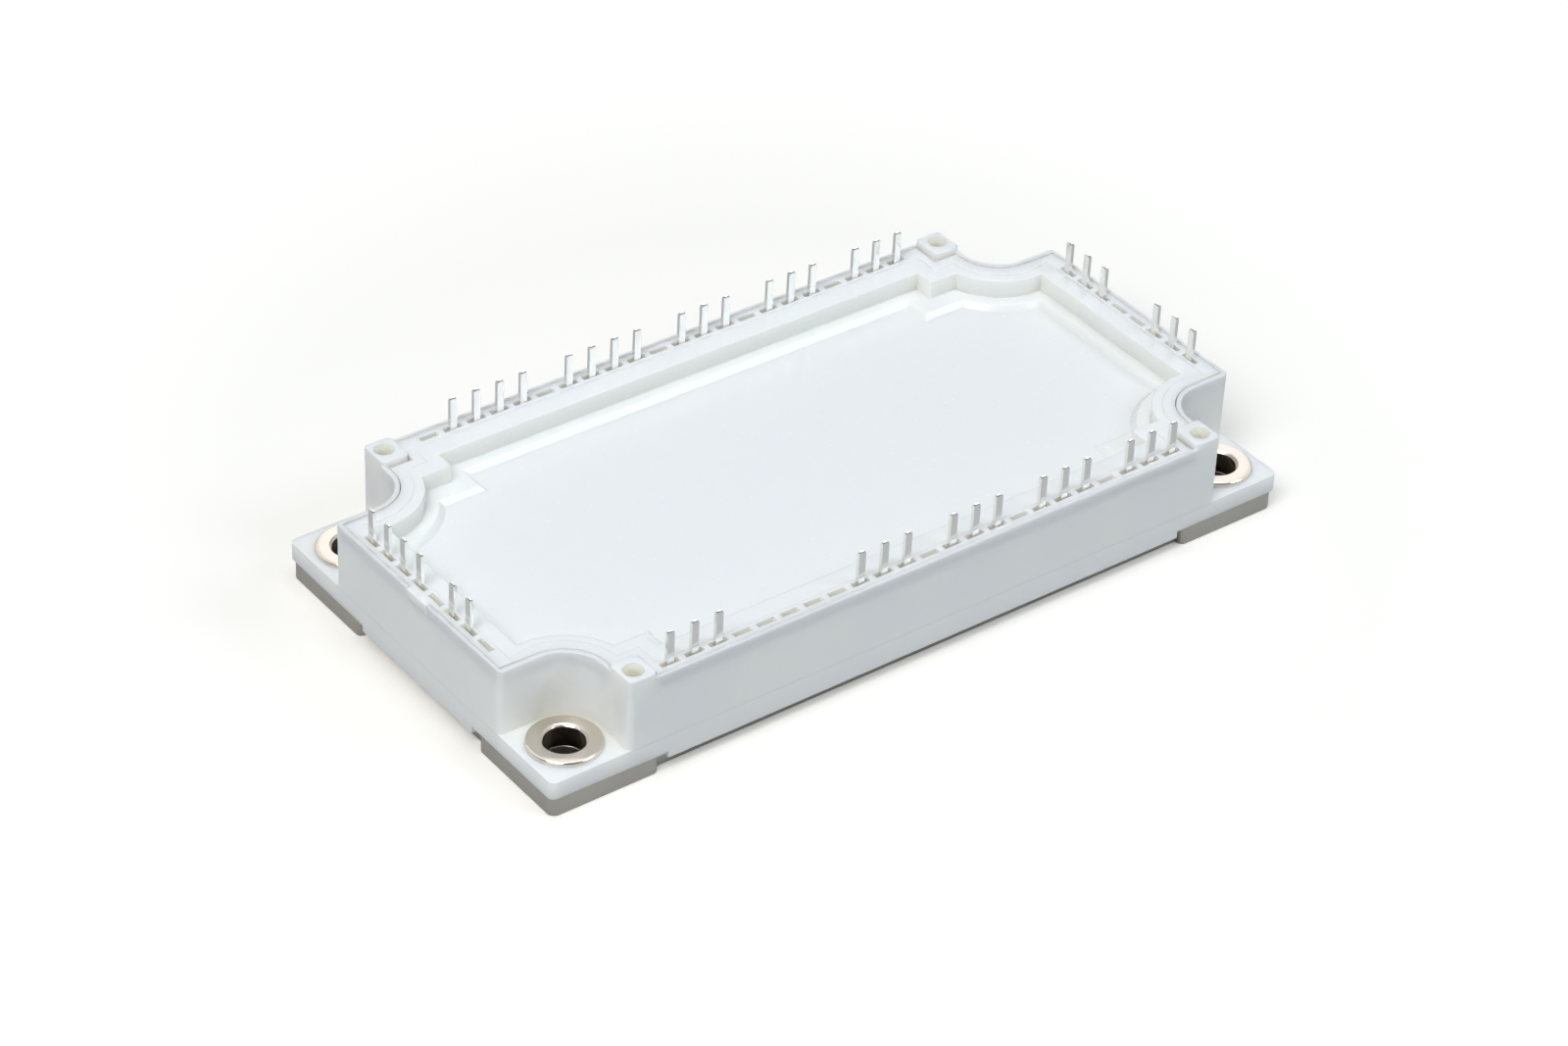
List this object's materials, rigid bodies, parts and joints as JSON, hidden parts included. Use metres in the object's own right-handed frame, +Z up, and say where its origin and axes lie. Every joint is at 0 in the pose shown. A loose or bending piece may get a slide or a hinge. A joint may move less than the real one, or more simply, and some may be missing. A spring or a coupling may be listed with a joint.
{
  "type": "igbt power module",
  "caption": "White moulded power transistor module on a metal base plate, with rows of solder pins round a drop-in lid and screw bushings in recessed corners.",
  "frame": {"origin": "centre of the base plate's underside", "axes": "+X along the long side, +Y along the short side, +Z up towards the pin tips"},
  "size_m": [0.1222, 0.0624, 0.0208],
  "materials": {
    "plate_nickel": "satin nickel plating on copper",
    "frame_plastic": "moulded glass-filled polyester, white",
    "lid_plastic": "moulded glass-filled polyester, white, semi-gloss",
    "bushing_nickel": "bright nickel plating on steel",
    "pin_tin": "bright tin on copper",
    "substrate_ceramic": "fired alumina",
    "substrate_copper": "bonded copper foil",
    "solder": "reflowed tin solder",
    "silicon": "metallised silicon",
    "sensor_ceramic": "sintered ceramic",
    "ribbon_aluminium": "bright rolled ribbon",
    "silicone_gel": "clear soft silicone",
    "silicone_glue": "cured silicone"
  },
  "bodies": {
    "root": {"base_copper_left": "substrate_copper", "base_copper_middle": "substrate_copper", "base_copper_right": "substrate_copper", "baseplate": "plate_nickel", "bushing_front_left": "bushing_nickel", "bushing_front_right": "bushing_nickel", "bushing_rear_left": "bushing_nickel", "bushing_rear_right": "bushing_nickel", "ceramic_left": "substrate_ceramic", "ceramic_middle": "substrate_ceramic", "ceramic_right": "substrate_ceramic", "chip_ribbons": "ribbon_aluminium", "chip_solder": "solder", "diode_chips": "silicon", "gel": "silicone_gel", "glue_bead": "silicone_glue", "housing_frame": "frame_plastic", "lid": "lid_plastic", "pin_ribbons": "ribbon_aluminium", "pins_front_1": "pin_tin", "pins_front_2": "pin_tin", "pins_front_3": "pin_tin", "pins_front_4": "pin_tin", "pins_front_5": "pin_tin", "pins_left_1": "pin_tin", "pins_left_2": "pin_tin", "pins_rear_1": "pin_tin", "pins_rear_2": "pin_tin", "pins_rear_3": "pin_tin", "pins_rear_4": "pin_tin", "pins_rear_5": "pin_tin", "pins_right_1": "pin_tin", "pins_right_2": "pin_tin", "substrate_solder_left": "solder", "substrate_solder_middle": "solder", "substrate_solder_right": "solder", "thermistor": "sensor_ceramic", "tracks_left": "substrate_copper", "tracks_middle": "substrate_copper", "tracks_right": "substrate_copper", "transistor_chips": "silicon"}
  },
  "joints": []
}
